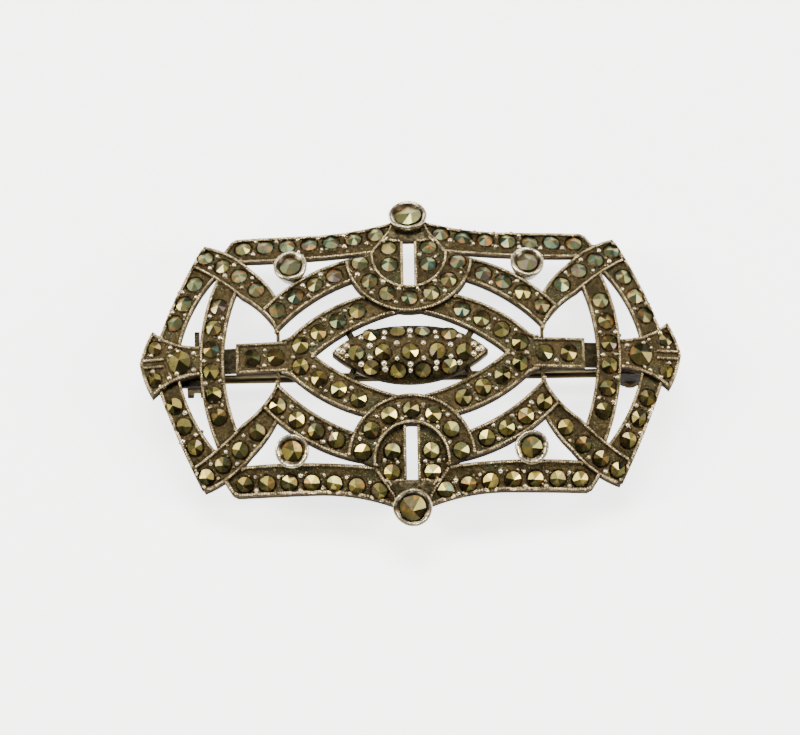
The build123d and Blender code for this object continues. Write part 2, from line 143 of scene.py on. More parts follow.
def addPiece(name, points, faces, body, material, smooth=True, tone=None, crest=None):
    mesh = bpy.data.meshes.new(name)
    points = np.asarray(points, np.float32)
    faces = np.asarray(faces, np.int32)
    corners = faces.shape[1]
    mesh.vertices.add(len(points))
    mesh.vertices.foreach_set("co", points.ravel())
    mesh.loops.add(faces.size)
    mesh.loops.foreach_set("vertex_index", faces.ravel())
    mesh.polygons.add(len(faces))
    mesh.polygons.foreach_set("loop_start", np.arange(0, faces.size, corners, dtype=np.int32))
    mesh.polygons.foreach_set("loop_total", np.full(len(faces), corners, np.int32))
    mesh.polygons.foreach_set("use_smooth", np.full(len(faces), smooth))
    mesh.update(calc_edges=True)
    if tone is not None:
        layer = mesh.attributes.new("tone", "FLOAT_COLOR", "FACE")
        layer.data.foreach_set("color", np.asarray(tone, np.float32).ravel())
    if crest is not None:
        layer = mesh.attributes.new("crest", "FLOAT", "POINT")
        layer.data.foreach_set("value", np.asarray(crest, np.float32).ravel())
    mesh.materials.append(material)
    obj = bpy.data.objects.new(name, mesh)
    bpy.context.scene.collection.objects.link(obj)
    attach(obj, body)
    return obj


def feed(tree, socket, value):
    # a link from a wire, or a constant on the socket itself
    if isinstance(value, Wire):
        tree.links.new(value.socket, socket)
    else:
        socket.default_value = value


class Wire:
    # a socket that adds, subtracts and multiplies by making math nodes
    def __init__(self, tree, socket):
        self.tree = tree
        self.socket = socket

    def math(self, kind, other=None):
        node = self.tree.nodes.new("ShaderNodeMath")
        node.operation = kind
        feed(self.tree, node.inputs[0], self)
        if other is not None:
            feed(self.tree, node.inputs[1], other)
        return Wire(self.tree, node.outputs[0])

    def __add__(self, other):
        return self.math("ADD", other)

    def __sub__(self, other):
        return self.math("SUBTRACT", other)

    def __mul__(self, other):
        return self.math("MULTIPLY", other)

    def __radd__(self, other):
        return self + other

    def __rmul__(self, other):
        return self * other

    def __rsub__(self, other):
        return (self * -1.0) + other

    def step(self, low, high):
        # smooth rise from 0 at low to 1 at high
        node = self.tree.nodes.new("ShaderNodeMapRange")
        node.interpolation_type = "SMOOTHSTEP"
        for name, value in (("Value", self), ("From Min", low), ("From Max", high)):
            feed(self.tree, node.inputs[name], value)
        return Wire(self.tree, node.outputs["Result"])


class Paint:
    # one material being wired up
    def __init__(self, name):
        self.material = bpy.data.materials.new(name)
        self.material.use_nodes = True
        self.tree = self.material.node_tree
        self.shader = self.tree.nodes["Principled BSDF"]

    def node(self, kind, settings=None, values=None, output=0):
        made = self.tree.nodes.new(kind)
        for key, value in (settings or {}).items():
            setattr(made, key, value)
        for key, value in (values or {}).items():
            feed(self.tree, made.inputs[key], value)
        return Wire(self.tree, made.outputs[output])

    def split(self, kind, source):
        # every output of a node that takes one vector or colour apart
        made = self.tree.nodes.new(kind)
        feed(self.tree, made.inputs[0], source)
        return [Wire(self.tree, out) for out in made.outputs]

    def place(self):
        return self.node("ShaderNodeTexCoord", output="Object")

    def attribute(self, name, output):
        return self.node("ShaderNodeAttribute", {"attribute_name": name}, None, output)

    def noise(self, vector, scale, detail=3.0, rough=0.55):
        values = {"Vector": vector, "Scale": scale, "Detail": detail, "Roughness": rough}
        return self.node("ShaderNodeTexNoise", None, values, "Fac")

    def mix(self, share, first, second):
        # a Mix node's colour sockets are its inputs 6 and 7 and its output 2
        return self.node("ShaderNodeMix", {"data_type": "RGBA"}, {0: share, 6: first, 7: second}, 2)

    def put(self, name, value):
        feed(self.tree, self.shader.inputs[name], value)

    def bump(self, height, strength, distance):
        values = {"Height": height, "Strength": strength, "Distance": distance}
        self.put("Normal", self.node("ShaderNodeBump", None, values, "Normal"))


def colour(red, green, blue):
    # from ordinary 0-255 screen values to linear light
    def linear(value):
        value = value / 255
        return value / 12.92 if value <= 0.04045 else ((value + 0.055) / 1.055) ** 2.4
    return (linear(red), linear(green), linear(blue), 1.0)


def bowHeight(paint, bow, place):
    # the height over the bent surface in millimetres, from the Object coordinates
    x, y, z = [axis * 1000.0 for axis in paint.split("ShaderNodeSeparateXYZ", place)]
    longR, crossR = bow["long"] * 1000, bow["cross"] * 1000
    deep = z - (bow["crown"] * 1000 - longR)
    fromAxis = (x * x + deep * deep).math("SQRT") - (longR - crossR)
    return (fromAxis * fromAxis + y * y).math("SQRT") - crossR


# colours of the ribbons; onRail and onFloor are depths under the ribbon's top in millimetres,
# from where a tone begins to where it is full, and onBack heights over the bent surface
agedSilver = {
    "rail": colour(104, 94, 68), "railDull": colour(50, 45, 31),
    "floor": colour(84, 70, 43), "floorDark": colour(42, 37, 24), "floorGreen": colour(58, 58, 40),
    "glint": colour(158, 132, 84), "wall": colour(58, 53, 37), "wallDark": colour(36, 32, 22),
    "back": colour(132, 126, 112), "edge": colour(150, 138, 112),
    "metallic": 0.85, "onRail": (0.13, 0.03), "onFloor": (0.42, 0.24), "onBack": (-0.88, -0.8),
}


def ribbonSilver(name, bow, top):
    # worn bright rails, brown floors, dark walls and a greyer back, told apart by height over the surface
    paint = Paint(name)
    place = paint.place()
    height = bowHeight(paint, bow, place)
    broad = paint.noise(place, 420.0, 3.0)
    fine = paint.noise(place, 2600.0, 4.0, 0.6)
    speck = paint.noise(place, 7000.0, 2.0, 0.6)
    worn = (broad * 0.5 + fine * 0.6).step(0.46, 0.7)
    stain = (fine * 0.6 + broad * 0.5).step(0.4, 0.74)
    rail = paint.mix(worn, agedSilver["railDull"], agedSilver["rail"])
    floor = paint.mix(broad.step(0.46, 0.6), agedSilver["floor"], agedSilver["floorGreen"])
    floor = paint.mix(stain, agedSilver["floorDark"], floor)
    # painted glints: bright specks of painted highlight scattered on the floors
    floor = paint.mix(speck.step(0.6, 0.72) * broad.step(0.4, 0.6), floor, agedSilver["glint"])
    wall = paint.mix(fine.step(0.4, 0.66), agedSilver["wallDark"], agedSilver["wall"])
    back = paint.mix(broad.step(0.35, 0.65), agedSilver["railDull"], agedSilver["back"])
    onRail = height.step(*[top - depth for depth in agedSilver["onRail"]])
    onFloor = height.step(*[top - depth for depth in agedSilver["onFloor"]])
    onBack = 1.0 - height.step(*agedSilver["onBack"])
    tone = paint.mix(onFloor, wall, floor)
    tone = paint.mix(onRail, tone, rail)
    paint.put("Base Color", paint.mix(onBack, tone, back))
    paint.put("Metallic", agedSilver["metallic"])
    paint.put("Specular Tint", agedSilver["edge"])
    upperFace = onFloor.math("MAXIMUM", onBack)
    paint.put("Roughness", 0.6 - upperFace * 0.14 - onRail * 0.06 + stain * 0.05)
    paint.bump(fine * 0.9 + speck * 0.5, 0.9, 0.00018)
    return paint.material


def brightSilver(name, light, dark, low, high, crested=False, edge=(1, 1, 1, 1)):
    # rubbed silver with dark specks left in its hollows, and black away from a crested piece's rim
    paint = Paint(name)
    place = paint.place()
    broad = paint.noise(place, 900.0, 3.0)
    fine = paint.noise(place, 5200.0, 3.0, 0.6)
    rubbed = (broad * 0.6 + fine * 0.5).step(low, high)
    tone = paint.mix(rubbed, dark, light)
    if crested:
        crest = paint.attribute("crest", "Fac") + broad * 0.5
        tone = paint.mix(crest.step(0.5, 0.95), colour(64, 54, 38), tone)
    paint.put("Base Color", tone)
    paint.put("Metallic", 0.9)
    paint.put("Specular Tint", edge)
    paint.put("Roughness", 0.38 - rubbed * 0.14)
    paint.bump(fine, 0.4, 0.00006)
    return paint.material


def oxideAndShade(name):
    # the oxide left in the cut round each stone, with painted shade of the gap between stone and seat
    paint = Paint(name)
    fine = paint.noise(paint.place(), 5000.0, 3.0)
    # near-black and dark brown: partly oxide, partly painted shade of the seat's gap
    paint.put("Base Color", paint.mix(fine.step(0.4, 0.7), colour(20, 15, 9), colour(62, 50, 32)))
    paint.put("Metallic", 1.0)
    paint.put("Roughness", 0.5)
    paint.bump(fine, 0.4, 0.00005)
    return paint.material


# bright and dark are painted highlight and painted shade for single facets; the grey-green pair is a painted
# reflection of the soft light above
stoneColour = {
    "brass": colour(110, 102, 54), "olive": colour(88, 88, 54),
    "bright": colour(200, 182, 96), "dark": colour(48, 46, 28),
    "tarnishDark": colour(66, 78, 56), "tarnishLight": colour(106, 116, 86),
    "filmBlue": colour(64, 102, 98), "filmAmber": colour(160, 100, 44), "filmPurple": colour(104, 66, 84),
}


def marcasite(name):
    # metallic olive brass, each stone a little different; each facet painted brighter or darker as a painted
    # reflection, and greyer towards the top edge as a painted reflection of the soft light above
    paint = Paint(name)
    tone = paint.attribute("tone", "Color")
    stoneTone, facetReflection, topReflection = paint.split("ShaderNodeSeparateColor", tone)
    place = paint.place()
    base = paint.mix(stoneTone, stoneColour["brass"], stoneColour["olive"])
    # painted highlight on some facets and painted shade on others
    base = paint.mix(facetReflection.step(0.55, 1.0), base, stoneColour["bright"])
    base = paint.mix(facetReflection.step(0.45, 0.0), base, stoneColour["dark"])
    grey = paint.mix(facetReflection, stoneColour["tarnishDark"], stoneColour["tarnishLight"])
    # painted reflection: upper stones greyer and even
    base = paint.mix(topReflection, base, grey)
    haze = paint.noise(place, 1500.0, 2.0)
    hue = paint.noise(place, 600.0, 1.0)
    film = paint.mix(hue.step(0.4, 0.48), stoneColour["filmBlue"], stoneColour["filmAmber"])
    film = paint.mix(hue.step(0.57, 0.62), film, stoneColour["filmPurple"])
    paint.put("Base Color", paint.mix(haze.step(0.46, 0.66) * (topReflection * 0.45 + 0.3), base, film))
    paint.put("Metallic", 1.0)
    paint.put("Roughness", 0.22 + haze * 0.14 + topReflection * 0.12)
    paint.bump(paint.noise(place, 6000.0, 2.0), 0.08, 0.00004)
    return paint.material


def steelWire(name):
    # grey brown wire with streaks drawn out along its length
    paint = Paint(name)
    place = paint.place()
    drawn = paint.node("ShaderNodeMapping", None, {"Vector": place, "Scale": (300.0, 6000.0, 6000.0)})
    streak = paint.noise(drawn, 1.0, 3.0)
    paint.put("Base Color", paint.mix(streak.step(0.35, 0.7), colour(38, 33, 23), colour(80, 71, 52)))
    paint.put("Metallic", 0.95)
    paint.put("Specular Tint", agedSilver["edge"])
    paint.put("Roughness", 0.3 + streak * 0.15)
    paint.bump(streak, 0.15, 0.00003)
    return paint.material


# how high each family of ribbons stands over the bent surface, in millimetres
ribbonTop = {"rail": 0.0, "side_border": 0.0, "corner_bar": 0.1, "side_arc": 0.15, "slot_plate": 0.15,
             "cross_bar": 0.2, "inner_arch": 0.2, "swag": 0.25, "end_cap": 0.4, "half_ring": 0.5}
floorDepth = 0.2

collarSilver = brightSilver("collarSilver", colour(198, 188, 156), colour(78, 68, 48), 0.4, 0.62,
                            crested=True)
grainSilver = brightSilver("grainSilver", colour(222, 208, 176), colour(104, 86, 58), 0.36, 0.6)
milgrainSilver = brightSilver("milgrainSilver", colour(204, 184, 142), colour(84, 70, 46), 0.42, 0.66)
findingSilver = brightSilver("findingSilver", colour(66, 58, 43), colour(32, 27, 19), 0.4, 0.68,
                             edge=colour(110, 98, 74))
lumpSilver = brightSilver("lumpSilver", colour(126, 112, 80), colour(54, 48, 34), 0.4, 0.66)
seatOxide = oxideAndShade("seatOxide")
marcasiteStone = marcasite("marcasiteStone")
pinSteel = steelWire("pinSteel")


def pieceLabel(family):
    return family.title().replace("_", "")


ribbonMaterial = {family: ribbonSilver("silver" + pieceLabel(family), plaqueBow, top)
                  for family, top in ribbonTop.items()}
navetteSilver = ribbonSilver("silverNavette", navetteBow, 0.25)

# widths of the softened edges, and the angle in degrees past which an edge is softened
softEdge = {"ribbon": 0.04 * mm, "finding": 0.06 * mm, "wire": 0.03 * mm, "sharper": 40}


def dress(name, material, width):
    # a CAD node keeps its mesh and takes a material and softened edges
    obj = nodes[name]
    obj.data.materials.clear()
    obj.data.materials.append(material)
    weld = obj.modifiers.new("weld", "WELD")
    weld.merge_threshold = mergedWithin
    bevel = obj.modifiers.new("soften", "BEVEL")
    bevel.width = width
    bevel.segments = 2
    bevel.limit_method = "ANGLE"
    bevel.angle_limit = math.radians(softEdge["sharper"])
    bevel.harden_normals = False


def ribbonFamily(name):
    # the family a ribbon node belongs to, and None for any other node
    if "stones" in name:
        return None
    return next((family for family in ribbonTop if name.startswith(family + "_")), None)


ribbonOf = {name: ribbonFamily(name) for name in nodes if ribbonFamily(name)}
for name, family in ribbonOf.items():
    dress(name, ribbonMaterial[family], softEdge["ribbon"])
dress("navette_cup", navetteSilver, softEdge["ribbon"])
dress("navette_struts", ribbonMaterial["rail"], softEdge["ribbon"])
for name in ("hinge_bracket", "catch_housing", "catch_rotor"):
    dress(name, findingSilver, softEdge["finding"])
for name in ("hinge_rivet", "pin_stem"):
    dress(name, pinSteel, softEdge["wire"])
print("ribbons dressed", len(ribbonOf))


# beads along the rails; floorDepth and sunk are in millimetres under the ribbon's top
milgrain = {"pitch": 0.215 * mm, "railWidth": 0.28 * mm, "floorDepth": floorDepth, "sunk": 0.02,
            "radius": 0.135 * mm, "spread": (0.82, 1.12), "shake": 0.012 * mm, "flat": 0.95}
# which triangles are the small walls between a rail and its floor: how little they face up, and how near
# in millimetres their height and the rail's top come to the stated ones
stepWall = {"facing": 0.4, "depthSlack": 0.05, "topSlack": 0.012}


def railEdges(name, bow, top, depth):
    # both ends of every edge where a rail steps down to its floor, and the way out of the rail there
    points, tri = cadTriangles(name)
    height = bowOffset(bow, points) / mm
    flat = np.cross(points[tri[:, 1]] - points[tri[:, 0]], points[tri[:, 2]] - points[tri[:, 0]])
    area = np.linalg.norm(flat, axis=1, keepdims=True)
    flat = flat / np.maximum(area, 1e-15)  # no division by zero where a triangle has no area
    facing = (flat * bowNormal(bow, points[tri].mean(axis=1))).sum(axis=1)
    lowest = height[tri].min(axis=1)
    isStep = (facing < stepWall["facing"]) & (lowest > top - depth - stepWall["depthSlack"])
    onTop = np.abs(height - top) < stepWall["topSlack"]
    walls = tri[isStep]
    starts, ends, out = [], [], []
    for a, b in ((0, 1), (1, 2), (2, 0)):
        keep = onTop[walls[:, a]] & onTop[walls[:, b]]
        starts.append(points[walls[keep, a]])
        ends.append(points[walls[keep, b]])
        out.append(flat[isStep][keep])
    return np.concatenate(starts), np.concatenate(ends), np.concatenate(out)


def railPoints(name, bow, top, settings):
    # evenly along those edges, moved back to the rail's middle
    starts, ends, out = railEdges(name, bow, top, settings["floorDepth"])
    length = np.linalg.norm(ends - starts, axis=1)
    count = np.maximum(1, np.round(length / settings["pitch"])).astype(int)
    owner = np.repeat(np.arange(len(starts)), count)
    order = np.arange(count.sum()) - np.repeat(np.cumsum(count) - count, count)
    share = (order + 0.5) / count[owner]
    along = starts[owner] + (ends - starts)[owner] * share[:, None]
    return along - out[owner] * settings["railWidth"] / 2


# a bead's lowest and highest rings of points, as angles over its middle
beadRings = {"low": -0.35, "high": math.pi / 2 * 0.78}


def beadPoints(centres, normals, radius, flatness, around, rings):
    # rings at equal steps of angle, and the pole
    side, over = crossFrame(normals)
    lift = np.linspace(beadRings["low"], beadRings["high"], rings)
    turn = ringTurns(around)
    ringOut = np.cos(lift)[:, None] * np.ones(around)
    ringUp = np.sin(lift)[:, None] * np.ones(around)
    dx = np.append((ringOut * np.cos(turn)).ravel(), 0)
    dy = np.append((ringOut * np.sin(turn)).ravel(), 0)
    dz = np.append(ringUp.ravel(), 1.0)
    shape = (side[:, None, :] * dx[None, :, None] + over[:, None, :] * dy[None, :, None]
             + normals[:, None, :] * (dz * flatness)[None, :, None])
    return centres[:, None, :] + shape * np.asarray(radius)[:, None, None]


def beadMesh(centres, normals, radius, flatness, around=8, rings=3):
    # low domes, as triangles
    points = beadPoints(centres, normals, radius, flatness, around, rings)
    quads = bandQuads(around, rings - 1)
    ring = np.arange(around)
    last = (rings - 1) * around
    pole = rings * around
    cap = np.stack([last + ring, last + (ring + 1) % around, np.full(around, pole)], 1)
    faces = np.concatenate([quads[:, [0, 1, 2]], quads[:, [0, 2, 3]], cap])
    offsets = np.arange(len(centres)) * (pole + 1)
    return points.reshape(-1, 3), (faces[None] + offsets[:, None, None]).reshape(-1, 3)


def buildMilgrain():
    total = 0
    for family, top in ribbonTop.items():
        centres = [railPoints(name, plaqueBow, top, milgrain)
                   for name, kind in ribbonOf.items() if kind == family]
        centres = toBow(plaqueBow, np.concatenate(centres), (top - milgrain["sunk"]) * mm)
        normals = bowNormal(plaqueBow, centres)
        centres += rng.normal(0, milgrain["shake"], centres.shape)
        radius = milgrain["radius"] * rng.uniform(*milgrain["spread"], len(centres))
        points, faces = beadMesh(centres, normals, radius, milgrain["flat"])
        addPiece("milgrain" + pieceLabel(family), points, faces, "plaque", milgrainSilver)
        total += len(centres)
    print("milgrain beads", total)


buildMilgrain()


# shares of a stone's radius, apart from the counts of facets and of points to each facet
stoneShape = {"facets": 6, "perFacet": 6, "sizeSpread": (0.97, 1.0), "peakShift": 0.09, "turnShift": 0.12,
              "rise": 0.5, "slopeSpread": (0.9, 1.08), "slopeKept": 0.88, "belt": 0.35}
# the painted top reflection begins this far from the middle line and is full after the run, both in metres
topReflectionLine = {"start": -1.0 * mm, "run": 9.0 * mm, "spread": (0.5, 1.0)}
# a collet stone fills its rim and stands up level with it
colletStone = {"raised": 0.24 * mm, "wider": 1.07, "tarnished": 0.3, "pale": 0.55, "paleSpread": 0.3,
               "flash": 0.8, "dim": 0.4}
stoneFamilies = [name for name in nodes if name.endswith("stones")]


def stonePlaces(name):
    # each stone's point, axis, radius and height, read from the CAD solids
    points, tri = cadTriangles(name)
    label = solidLabels(len(points), tri)
    bow = navetteBow if name == "navette_stones" else plaqueBow
    places = []
    for one in np.unique(label[tri]):
        own = points[label == one]
        normal = bowNormal(bow, own.mean(axis=0, keepdims=True))[0]
        up = own @ normal
        peak = own[up.argmax()]
        rest = own - peak
        out = np.linalg.norm(rest - np.outer(rest @ normal, normal), axis=1).max()
        places.append(np.concatenate([peak, normal, [out, up.max() - up.min()]]))
    places = np.array(places)
    if "collet" in name:
        places[:, :3] += places[:, 3:6] * colletStone["raised"]
        places[:, 6] *= colletStone["wider"]
    return places


def facetRidges(count):
    # the angles of the ridges between facets, turned and shaken for each stone
    facets = stoneShape["facets"]
    turn = rng.uniform(0, fullTurn, (count, 1))
    ridge = turn + np.arange(facets + 1) * fullTurn / facets
    shake = rng.normal(0, stoneShape["turnShift"], (count, facets))
    return ridge + np.concatenate([shake, shake[:, :1]], 1)


def crownOutline(ridge, shift):
    # where the facets meet the round girdle, and how far under the point each place lies
    step = np.linspace(0, 1, stoneShape["perFacet"] + 1)
    angle = ridge[:, :-1, None] * (1 - step) + ridge[:, 1:, None] * step
    ux, uy = np.cos(angle), np.sin(angle)
    shiftX, shiftY = shift[:, 0, None, None], shift[:, 1, None, None]
    along = shiftX * ux + shiftY * uy
    reach = -along + np.sqrt(along ** 2 + 1 - (shift ** 2).sum(1)[:, None, None])
    # each facet's plane falls along its own middle direction
    middle = (ridge[:, :-1] + ridge[:, 1:])[:, :, None] / 2
    half = (ridge[:, 1:] - ridge[:, :-1])[:, :, None] / 2
    slope = stoneShape["rise"] / np.cos(half) * rng.uniform(*stoneShape["slopeSpread"], (len(ridge), 1, 1))
    drop = reach * np.cos(angle - middle) * slope * stoneShape["slopeKept"]
    return shiftX + reach * ux, shiftY + reach * uy, drop


def stonePoints(places):
    # for each facet the shifted point, its stretch of the girdle, and the same stretch lower down
    peak, normal = places[:, :3], places[:, 3:6]
    radius = places[:, 6] * rng.uniform(*stoneShape["sizeSpread"], len(places))
    side, over = crossFrame(normal)
    ridge = facetRidges(len(places))
    shift = rng.normal(0, stoneShape["peakShift"], (len(places), 2))
    px, py, drop = crownOutline(ridge, shift)
    scale = radius[:, None, None, None]
    start, down = peak[:, None, None], normal[:, None, None]
    outward = side[:, None, None] * px[..., None] + over[:, None, None] * py[..., None]
    top = start + (outward - down * drop[..., None]) * scale
    low = start + outward * scale - down * (stoneShape["rise"] + stoneShape["belt"]) * scale
    apex = peak + (side * shift[:, :1] + over * shift[:, 1:]) * radius[:, None]
    apex = apex[:, None] + np.zeros((len(places), stoneShape["facets"], 3))
    return np.concatenate([apex[:, :, None], top, low], 2)


def facetFaces(per):
    # one facet's fan of triangles from its point, and the belt under its stretch of the girdle
    ring = np.arange(per)
    fan = np.stack([np.zeros(per, int), 1 + ring, 2 + ring], 1)
    beltOne = np.stack([1 + ring, per + 2 + ring, per + 3 + ring], 1)
    beltTwo = np.stack([1 + ring, per + 3 + ring, 2 + ring], 1)
    return np.concatenate([fan, beltOne, beltTwo])


def stoneTones(peak, faceCount):
    # for each face its stone's tone, its facet's painted reflection, and a painted reflection of the soft
    # light above that grows towards the top edge
    perStone = stoneShape["facets"] * faceCount
    stoneTone = np.repeat(rng.uniform(0, 1, len(peak)), perStone)
    facetReflection = np.repeat(rng.uniform(0, 1, len(peak) * stoneShape["facets"]), faceCount)
    # painted reflection: grows towards the top edge
    topReflection = np.clip((peak[:, 1] - topReflectionLine["start"]) / topReflectionLine["run"], 0, 1)
    topReflection = np.repeat(topReflection * rng.uniform(*topReflectionLine["spread"], len(peak)), perStone)
    return np.stack([stoneTone, facetReflection, topReflection, np.ones(len(topReflection))], 1)


def colletTones(tone):
    # pale and even where the painted top reflection lies, in the upper half; below, painted shade on the
    # facets with one or two painted highlights
    facetReflection, topReflection = tone[:, 1], tone[:, 2]
    pale = colletStone["pale"] + facetReflection * colletStone["paleSpread"]
    # painted shade on lower facets, painted highlight where the facet's tone is high
    dark = np.where(facetReflection > colletStone["flash"], 1.0, facetReflection * colletStone["dim"])
    tone[:, 1] = np.where(topReflection > colletStone["tarnished"], pale, dark)
    return tone


def buildStones():
    # crowns: straight fans from a slightly shifted point out to the round girdle, one plane to each facet
    for name in stoneFamilies:
        points = stonePoints(stoneAt[name])
        own = facetFaces(stoneShape["perFacet"])
        offsets = np.arange(points.shape[0] * points.shape[1]) * points.shape[2]
        faces = (own[None] + offsets[:, None, None]).reshape(-1, 3)
        tone = stoneTones(stoneAt[name][:, :3], len(own))
        if "collet" in name:
            tone = colletTones(tone)
        piece = addPiece("cut_" + name, points.reshape(-1, 3), faces, "plaque", marcasiteStone,
                         smooth=False, tone=tone)
        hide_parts(name)
    print("stones", sum(len(places) for places in stoneAt.values()))


stoneAt = {name: stonePlaces(name) for name in stoneFamilies}
buildStones()


# grains that hold the stones: side is how far from the row's middle, near and far how close two stones
# of a row stand, cap where they stand on the end caps, in millimetres from the brooch's middle
grain = {"side": 0.7 * mm, "radius": 0.24 * mm, "spread": (0.65, 1.12), "near": 2.7 * mm, "far": 1.6 * mm,
         "kept": 0.9, "sunk": 0.15, "shake": 0.07 * mm, "capShake": 0.08 * mm, "reach": 0.09 * mm,
         "cap": [(21.85, 1.15), (22.5, 0.62), (22.5, 1.5), (20.2, 0.8), (24.3, 0.8), (23.5, 2.35)]}
# lower lumps of metal beside them, pushed up by the graver
lump = {"each": 3, "shake": 0.26 * mm, "sunk": 0.06 * mm, "spread": (0.4, 0.85), "flat": 0.7}
stoneRibbon = {"rail_stones": "rail", "border_stones": "side_border", "corner_stones": "corner_bar",
               "arc_stones": "side_arc", "slot_stones": "slot_plate", "bar_stones": "cross_bar",
               "arch_stones": "inner_arch", "swag_stones": "swag", "ring_stones": "half_ring"}


def overRibbon(spots):
    # true where a ribbon's own surface passes close to the spot
    points, tri, total = [], [], 0
    for name in ribbonOf:
        own, faces = cadTriangles(name)
        points.append(own)
        tri.append(faces + total)
        total += len(own)
    tree = BVHTree.FromPolygons(np.concatenate(points).tolist(), np.concatenate(tri).tolist())
    return np.array([tree.find_nearest(Vector(spot), grain["reach"])[0] is not None for spot in spots])


def grainSpots(name, top):
    # between each two neighbours, one to each side of their row
    places = stoneAt[name]
    peak, normal = places[:, :3], places[:, 3:6]
    gap = peak[None] - peak[:, None]
    apart = np.linalg.norm(gap, axis=2)
    first, second = np.where((apart < grain["near"]) & (apart > grain["far"]))
    keep = first < second
    first, second = first[keep], second[keep]
    run = gap[first, second]
    middle = peak[first] + run / 2
    across = np.cross(normal[first], run)
    across /= np.linalg.norm(across, axis=1, keepdims=True)
    spots = np.concatenate([middle + across * grain["side"], middle - across * grain["side"]])
    spots += rng.normal(0, grain["shake"], spots.shape)
    spots = spots[rng.uniform(0, 1, len(spots)) < grain["kept"]]
    return toBow(plaqueBow, spots, (top - grain["sunk"]) * mm)


def capSpots():
    # the same few grains round the stones of both end caps, above and below the middle line
    spots = [(a * x * mm, b * y * mm, plaqueBow["crown"])
             for x, y in grain["cap"] for a in (1, -1) for b in (1, -1)]
    spots = np.array(spots)
    spots = spots + rng.normal(0, grain["capShake"], spots.shape)
    return settleOnBow(plaqueBow, spots, (ribbonTop["end_cap"] - grain["sunk"]) * mm)


def lumpSpots(spots):
    # a few round each grain, level with it and then sunk a little
    rise = np.repeat(bowOffset(plaqueBow, spots), lump["each"])
    lumps = np.repeat(spots, lump["each"], axis=0)
    lumps = toBow(plaqueBow, lumps + rng.normal(0, lump["shake"], lumps.shape), 0.0)
    lumps = lumps + bowNormal(plaqueBow, lumps) * (rise - lump["sunk"])[:, None]
    return lumps[overRibbon(lumps)]


def buildGrains():
    spots = [grainSpots(name, ribbonTop[family]) for name, family in stoneRibbon.items()]
    spots = np.concatenate(spots + [capSpots()])
    spots = spots[overRibbon(spots)]
    radius = grain["radius"] * rng.uniform(*grain["spread"], len(spots))
    points, faces = beadMesh(spots, bowNormal(plaqueBow, spots), radius, 1.0, around=12, rings=4)
    addPiece("settingGrains", points, faces, "plaque", grainSilver)
    lumps = lumpSpots(spots)
    radius = grain["radius"] * rng.uniform(*lump["spread"], len(lumps))
    points, faces = beadMesh(lumps, bowNormal(plaqueBow, lumps), radius, lump["flat"], around=9, rings=3)
    addPiece("graverLumps", points, faces, "plaque", lumpSilver)
    print("grains", len(spots), len(lumps))


# reach is how far out from the stone and lift how far over the floor each ring of points lies, in millimetres
seatRing = {"reach": [0.0, 0.08, 0.2], "lift": [0.045, 0.025, -0.01], "around": 28, "inside": 0.99,
            "wobble": (0.8, 1.25)}


def seatRingPoints(places, bow, floor):
    turn = ringTurns(seatRing["around"])
    normal = places[:, 3:6]
    middle = toBow(bow, places[:, :3], floor)
    side, over = crossFrame(normal)
    wobble = rng.uniform(*seatRing["wobble"], (len(places), seatRing["around"]))
    rings = []
    for reach, lift in zip(seatRing["reach"], seatRing["lift"]):
        out = places[:, 6][:, None] * seatRing["inside"] + reach * mm * wobble
        rings.append(middle[:, None] + side[:, None] * (out * np.cos(turn))[..., None]
                     + over[:, None] * (out * np.sin(turn))[..., None] + normal[:, None] * lift * mm)
    return np.concatenate(rings, 1)


def buildSeatRings():
    # a low dark fillet from each stone's girdle out to the ribbon floor: oxide in the cut and painted shade
    # of the gap
    seats = [(name, plaqueBow, (ribbonTop[family] - floorDepth) * mm) for name, family in stoneRibbon.items()]
    for name in ("cap_large_stones", "cap_small_stones"):
        seats.append((name, plaqueBow, (ribbonTop["end_cap"] - floorDepth) * mm))
    seats.append(("navette_stones", navetteBow, 0.0))
    quads = bandQuads(seatRing["around"], len(seatRing["reach"]) - 1)[:, [0, 3, 2, 1]]
    points, faces, total = [], [], 0
    for name, bow, floor in seats:
        own = seatRingPoints(stoneAt[name], bow, floor)
        starts = np.arange(own.shape[0]) * own.shape[1] + total
        faces.append((quads[None] + starts[:, None, None]).reshape(-1, 4))
        points.append(own.reshape(-1, 3))
        total += own.shape[0] * own.shape[1]
    addPiece("seatRings", np.concatenate(points), np.concatenate(faces), "plaque", seatOxide)


# rim beads between the outer stones and at the tips, in millimetres from the middle; trio is the most
# that three stones round a bead stand apart, and stoneClear how near a stone's axis the edge beads may be
navetteBeads = {"radius": 0.3 * mm, "spread": (0.75, 1.1), "raised": 0.02 * mm, "trio": 2.95,
                "rim": [(0.0, 2.35), (2.35, 2.1), (4.55, 1.45)],
                "tips": [(6.25, 0.0), (5.85, 0.5), (5.85, -0.5), (6.6, 0.1)],
                "edgeRadius": 0.12 * mm, "stoneClear": 0.95 * mm}
# the cup has no floor: its whole outer wall counts as the step, however deep
navetteRail = dict(milgrain, floorDepth=9.0, railWidth=0.2 * mm)


def navetteSpots():
    # a bead in the middle of every three stones that touch, then the rim's and the tips' beads
    flat = stoneAt["navette_stones"][:, :2] / mm
    spots = []
    for trio in combinations(flat, 3):
        longest = max(np.linalg.norm(one - other) for one, other in combinations(trio, 2))
        if longest < navetteBeads["trio"]:
            spots.append(np.mean(trio, axis=0))
    for sign in (1, -1):
        spots += [(x, sign * y) for x, y in navetteBeads["rim"]]
        spots += [(-x, sign * y) for x, y in navetteBeads["rim"] if x > 0]
    spots += [(-x, y) for x, y in navetteBeads["tips"]] + navetteBeads["tips"]
    spots = np.array(spots) * mm
    spots = np.concatenate([spots, np.full((len(spots), 1), navetteBow["crown"])], 1)
    return settleOnBow(navetteBow, spots, navetteBeads["raised"])


